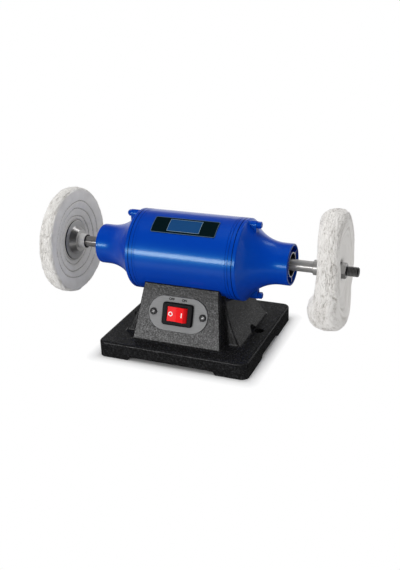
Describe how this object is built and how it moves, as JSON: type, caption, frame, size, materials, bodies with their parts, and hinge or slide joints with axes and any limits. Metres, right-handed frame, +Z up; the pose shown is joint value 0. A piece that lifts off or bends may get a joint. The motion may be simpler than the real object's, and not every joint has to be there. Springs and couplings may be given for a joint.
{
  "type": "polishing machine",
  "caption": "Bench polishing machine: a round motor on a flared cast pedestal turns a cloth buff on each end of its threaded spindle, with a rocker switch on the sloping front.",
  "frame": {"origin": "centre of the base at bench level, on the spindle's mid-point in X", "axes": "+X along the spindle towards the loose buff, -Y towards the switch, +Z up"},
  "size_m": [0.446, 0.1914, 0.201],
  "materials": {
    "casting_black": "black hammered paint",
    "motor_blue": "gloss enamel",
    "steel": "bright turned steel",
    "zinc_steel": "zinc plated",
    "flange_steel": "polished",
    "bearing_steel": "ground",
    "lamination": "stacked sheet",
    "rotor_aluminium": "cast",
    "copper": "varnished wire",
    "plate_grey": "satin",
    "label_dark": "printed sheet, left bare",
    "screw_black": "blackened",
    "black_plastic": "moulded",
    "red_plastic": "moulded",
    "brass_tab": "stamped",
    "capacitor_shell": "drawn can",
    "rubber": "moulded",
    "cotton_sewn": "spiral sewn cloth",
    "cotton_loose": "loose soft cloth"
  },
  "bodies": {
    "frame": {"base_casting": "casting_black", "bottom_cover": "zinc_steel", "bottom_cover_screws": "zinc_steel", "motor_tube": "motor_blue", "left_end_bell": "motor_blue", "right_end_bell": "motor_blue", "tie_bolts": "motor_blue", "tie_nuts": "motor_blue", "motor_mount_bolts": "zinc_steel", "motor_mount_pads": "zinc_steel", "name_plate": "label_dark", "stator_core": "lamination", "stator_windings": "copper", "left_bearing_outer_ring": "bearing_steel", "right_bearing_outer_ring": "bearing_steel", "motor_lead_grommet": "rubber", "switch_plate": "plate_grey", "switch_plate_screws": "screw_black", "switch_housing": "black_plastic", "switch_terminals": "brass_tab", "capacitor": "capacitor_shell", "capacitor_clamp": "zinc_steel", "capacitor_clamp_screws": "zinc_steel", "terminal_block": "black_plastic", "cord_inlet_bush": "rubber"},
    "spindle": {"spindle_shaft": "steel", "rotor_core": "lamination", "rotor_end_rings": "rotor_aluminium", "left_bearing_inner_ring": "bearing_steel", "right_bearing_inner_ring": "bearing_steel", "bearing_retaining_rings": "zinc_steel", "left_inner_flange": "flange_steel", "right_inner_flange": "flange_steel", "left_buff": "cotton_sewn", "right_buff": "cotton_loose", "left_clamp_washer": "steel", "right_clamp_washer": "steel", "left_arbor_nut": "steel", "right_arbor_nut": "steel"},
    "left_balls": {"left_ball_set": "bearing_steel"},
    "right_balls": {"right_ball_set": "bearing_steel"},
    "rocker": {"rocker": "red_plastic"}
  },
  "joints": [
    {"name": "spindle_spin", "type": "hinge", "parent": "frame", "child": "spindle", "pos_m": [0, 0, 0.125], "axis": [1, 0, 0], "continuous": true},
    {"name": "left_balls_orbit", "type": "hinge", "parent": "frame", "child": "left_balls", "pos_m": [0, 0, 0.125], "axis": [1, 0, 0], "continuous": true},
    {"name": "right_balls_orbit", "type": "hinge", "parent": "frame", "child": "right_balls", "pos_m": [0, 0, 0.125], "axis": [1, 0, 0], "continuous": true},
    {"name": "rocker_tilt", "type": "hinge", "parent": "frame", "child": "rocker", "pos_m": [0, -0.06167, 0.06176], "axis": [0, 0.3558, 0.9345], "range_deg": [0, 20]}
  ],
  "couplings": [
    {"joint": "left_balls_orbit", "follows": "spindle_spin", "ratio": 0.38},
    {"joint": "right_balls_orbit", "follows": "spindle_spin", "ratio": 0.38}
  ]
}
